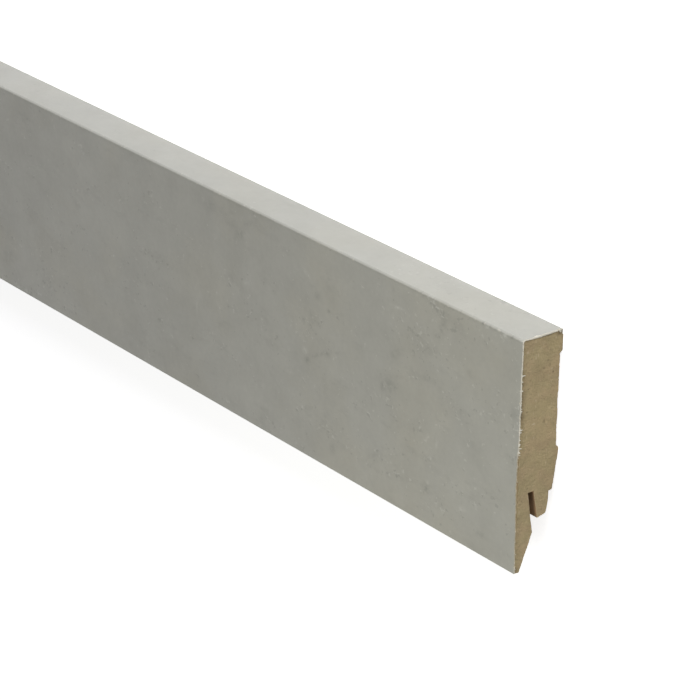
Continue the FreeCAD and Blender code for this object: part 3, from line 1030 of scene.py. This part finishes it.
def make_light(stage):
    """A faint even sky, a broad lamp that faces the board's top edge, and two boxes by the sawn end."""
    world = bpy.data.worlds.new("Studio")
    world.use_nodes = True
    strength = remap(seen_rays(world), 0.0, 1.0, stage.sky, 1.0)
    feed(world.node_tree.nodes["Background"], Color=(1.0, 1.0, 1.0, 1.0), Strength=strength)
    bpy.context.scene.world = world
    make_lamp("key", "SUN", stage.key, stage.key_colour, (0.30, 0.93, 0.20), angle=math.radians(50))
    for name, power, size, spot, aim in (
        ("side_box", stage.side, 0.25, (1.45, 0.30, 0.10), (1.15, 0.0, 0.0)),
        ("near_box", stage.near, 0.10, (1.22, -0.03, 0.17), (1.20, 0.0, 0.0)),
    ):
        make_lamp(name, "AREA", power, stage.box_colour, Vector(spot) - Vector(aim), spot, shape="SQUARE",
                  size=size)


def make_camera(stage):
    """The camera at the picture's viewing angle."""
    data = bpy.data.cameras.new("camera")
    data.sensor_width = 36.0
    data.lens = stage.lens
    data.clip_start, data.clip_end = 0.01, 200.0
    camera = add_object("camera", data)
    camera.location = stage.camera_place
    camera.rotation_euler = Euler(stage.camera_turn)
    bpy.context.scene.camera = camera


# Operators

class SKIRTING_OT_core(bpy.types.Operator):
    """Build the sawn and milled fibreboard core"""
    bl_idname = "skirting.core"
    bl_label = "Fibreboard core"

    def execute(self, context):
        finish = context.scene.skirting_finish
        sawn, milled, slot = finish.board, finish.milled, finish.slot_skin_and_shade
        materials = [fibre_material(finish, *skin) for skin in (
            ("SawnFibreboard", sawn, finish.board_warm, (0.24, 0.40, 0.30), 1.0, 1.0, 0.0),
            ("MilledFibreboard", milled, milled, (0.14, 0.22, 0.22), 0.22, 0.45, 0.0),
            # The slot's skin: its darker colour is painted shade, and its marks paint light at the slot's
            # open end.
            ("SlotFibreboardShaded", slot, slot, (0.30, 0.70, 0.40), 0.25, 0.6, 3.2),
        )]
        make_core(context.scene.skirting_section, context.scene.skirting_sawn, materials)
        return {"FINISHED"}


class SKIRTING_OT_foil(bpy.types.Operator):
    """Build the decor foil with its torn sawn edges"""
    bl_idname = "skirting.foil"
    bl_label = "Decor foil"

    def execute(self, context):
        section, finish = context.scene.skirting_section, context.scene.skirting_finish
        materials = decor_material(section, finish), paper_material(finish)
        make_foil(section, context.scene.skirting_sawn, materials)
        return {"FINISHED"}


class SKIRTING_OT_stage(bpy.types.Operator):
    """Build the floor, the light and the camera"""
    bl_idname = "skirting.stage"
    bl_label = "Stage"

    def execute(self, context):
        context.scene.view_settings.view_transform = "Standard"
        for make in (make_floor, make_light, make_camera):
            make(context.scene.skirting_stage)
        return {"FINISHED"}


class SKIRTING_PT_panel(bpy.types.Panel):
    """Lists the board's pieces and the stage"""
    bl_idname = "SKIRTING_PT_panel"
    bl_label = "Skirting board"
    bl_space_type = "VIEW_3D"
    bl_region_type = "UI"
    bl_category = "Skirting"

    def draw(self, context):
        for operator in OPERATORS:
            self.layout.operator(operator.bl_idname)


OPERATORS = (SKIRTING_OT_core, SKIRTING_OT_foil, SKIRTING_OT_stage)

GROUPS = (
    ("skirting_section", BoardSection),
    ("skirting_sawn", SawnEnds),
    ("skirting_finish", Finish),
    ("skirting_stage", Stage),
)


def register():
    for name, group in GROUPS:
        bpy.utils.register_class(group)
        setattr(bpy.types.Scene, name, PointerProperty(type=group))
    for item in (*OPERATORS, SKIRTING_PT_panel):
        bpy.utils.register_class(item)


def unregister():
    for item in (SKIRTING_PT_panel, *reversed(OPERATORS)):
        bpy.utils.unregister_class(item)
    for name, group in reversed(GROUPS):
        delattr(bpy.types.Scene, name)
        bpy.utils.unregister_class(group)


def main():
    register()
    bpy.ops.skirting.core()
    bpy.ops.skirting.foil()
    bpy.ops.skirting.stage()


if __name__ == "__main__":
    main()
